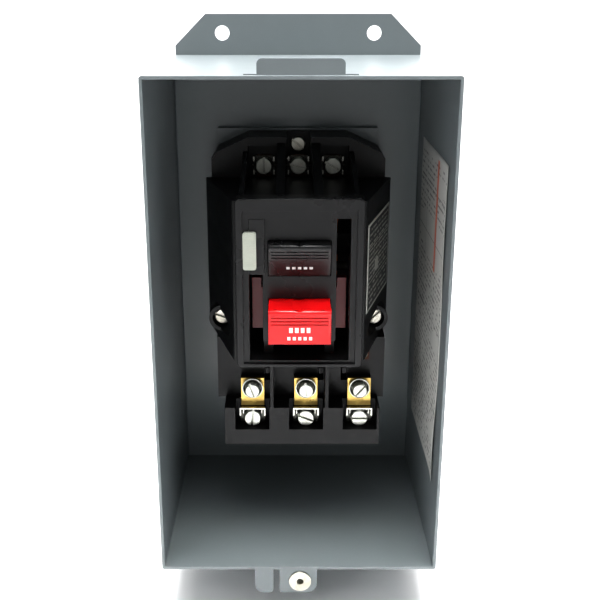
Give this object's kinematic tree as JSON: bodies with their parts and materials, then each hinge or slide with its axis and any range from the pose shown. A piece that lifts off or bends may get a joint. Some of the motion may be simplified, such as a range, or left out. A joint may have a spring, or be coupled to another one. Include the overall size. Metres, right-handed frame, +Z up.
{
  "type": "push-button motor starter",
  "caption": "Open steel wall box with a three-pole push-button motor starter: line and load terminals, overload block, start and stop buttons that swap over.",
  "frame": {"origin": "centre of the rear face of the box, which is the centre of the four wall holes", "axes": "+X to the right as seen from the front, +Y into the wall, +Z up"},
  "size_m": [0.1396, 0.1149, 0.2914],
  "materials": {
    "grey_paint": "grey enamel, satin",
    "zinc_plate": "bright zinc plate",
    "bright_steel": "bright plated steel",
    "printed_paper": "printed paper sticker",
    "foil": "printed foil",
    "black_moulding": "black phenolic moulding",
    "black_gloss": "smooth black moulding",
    "pale_pad": "pale soft pad",
    "red_plastic": "smooth red moulding",
    "copper": "bare copper strip",
    "brass": "bare brass strip",
    "silver": "silver contact alloy"
  },
  "bodies": {
    "box": {"base": "black_moulding", "base_screw": "zinc_plate", "bezel": "black_gloss", "button_guide": "black_gloss", "carrier_guide_pins": "zinc_plate", "carrier_return_springs": "bright_steel", "cover_clinch_nut": "zinc_plate", "cover_pad": "pale_pad", "enclosure_back_and_sides": "grey_paint", "enclosure_bottom": "grey_paint", "enclosure_top": "grey_paint", "fixed_contact_tips": "silver", "heater_bars": "brass", "heater_screws": "bright_steel", "heater_washers": "bright_steel", "housing": "black_moulding", "housing_screws": "zinc_plate", "lever_pin": "zinc_plate", "line_pressure_plates": "bright_steel", "line_straps": "copper", "line_terminal_screws": "bright_steel", "load_saddle_clamps": "bright_steel", "load_straps": "copper", "load_terminal_screws": "bright_steel", "mounting_plate": "grey_paint", "overload_block": "black_moulding", "rating_label": "foil", "trip_bearings": "black_moulding", "trip_spring": "bright_steel", "upper_heater_screws": "bright_steel", "wiring_label": "printed_paper"},
    "start": {"start_button": "black_gloss"},
    "stop": {"stop_button": "red_plastic"},
    "lever": {"operating_lever": "black_moulding"},
    "carrier": {"contact_carrier": "black_moulding", "contact_spring_a": "bright_steel", "contact_spring_b": "bright_steel", "contact_spring_c": "bright_steel"},
    "contact_a": {"moving_contact_a": "copper"},
    "contact_b": {"moving_contact_b": "copper"},
    "contact_c": {"moving_contact_c": "copper"},
    "trip": {"trip_bar": "black_moulding"}
  },
  "joints": [
    {"name": "stop_press", "type": "slide", "parent": "box", "child": "stop", "axis": [0, 1, 0], "range_m": [0, 0.008]},
    {"name": "start_press", "type": "slide", "parent": "box", "child": "start", "axis": [0, 1, 0], "range_m": [-0.008, 0]},
    {"name": "lever_turn", "type": "hinge", "parent": "box", "child": "lever", "pos_m": [0, -0.053, 0.0195], "axis": [1, 0, 0], "range_deg": [0, 34.8]},
    {"name": "carrier_slide", "type": "slide", "parent": "box", "child": "carrier", "axis": [0, 1, 0], "range_m": [-0.004, 0], "deforming": ["carrier_return_springs"]},
    {"name": "contact_float_a", "type": "slide", "parent": "carrier", "child": "contact_a", "axis": [0, -1, 0], "range_m": [0, 0.0015], "stiffness_N_per_m": 200, "deforming": ["contact_spring_a"]},
    {"name": "contact_float_b", "type": "slide", "parent": "carrier", "child": "contact_b", "axis": [0, -1, 0], "range_m": [0, 0.0015], "stiffness_N_per_m": 200, "deforming": ["contact_spring_b"]},
    {"name": "contact_float_c", "type": "slide", "parent": "carrier", "child": "contact_c", "axis": [0, -1, 0], "range_m": [0, 0.0015], "stiffness_N_per_m": 200, "deforming": ["contact_spring_c"]},
    {"name": "trip_turn", "type": "hinge", "parent": "box", "child": "trip", "pos_m": [0, -0.02, -0.04], "axis": [1, 0, 0], "range_deg": [0, 3], "deforming": ["trip_spring"]}
  ],
  "couplings": [
    {"joint": "start_press", "follows": "stop_press", "ratio": -1},
    {"joint": "lever_turn", "follows": "stop_press", "rad_per_m": 75.922},
    {"joint": "carrier_slide", "follows": "stop_press", "ratio": -0.5}
  ]
}
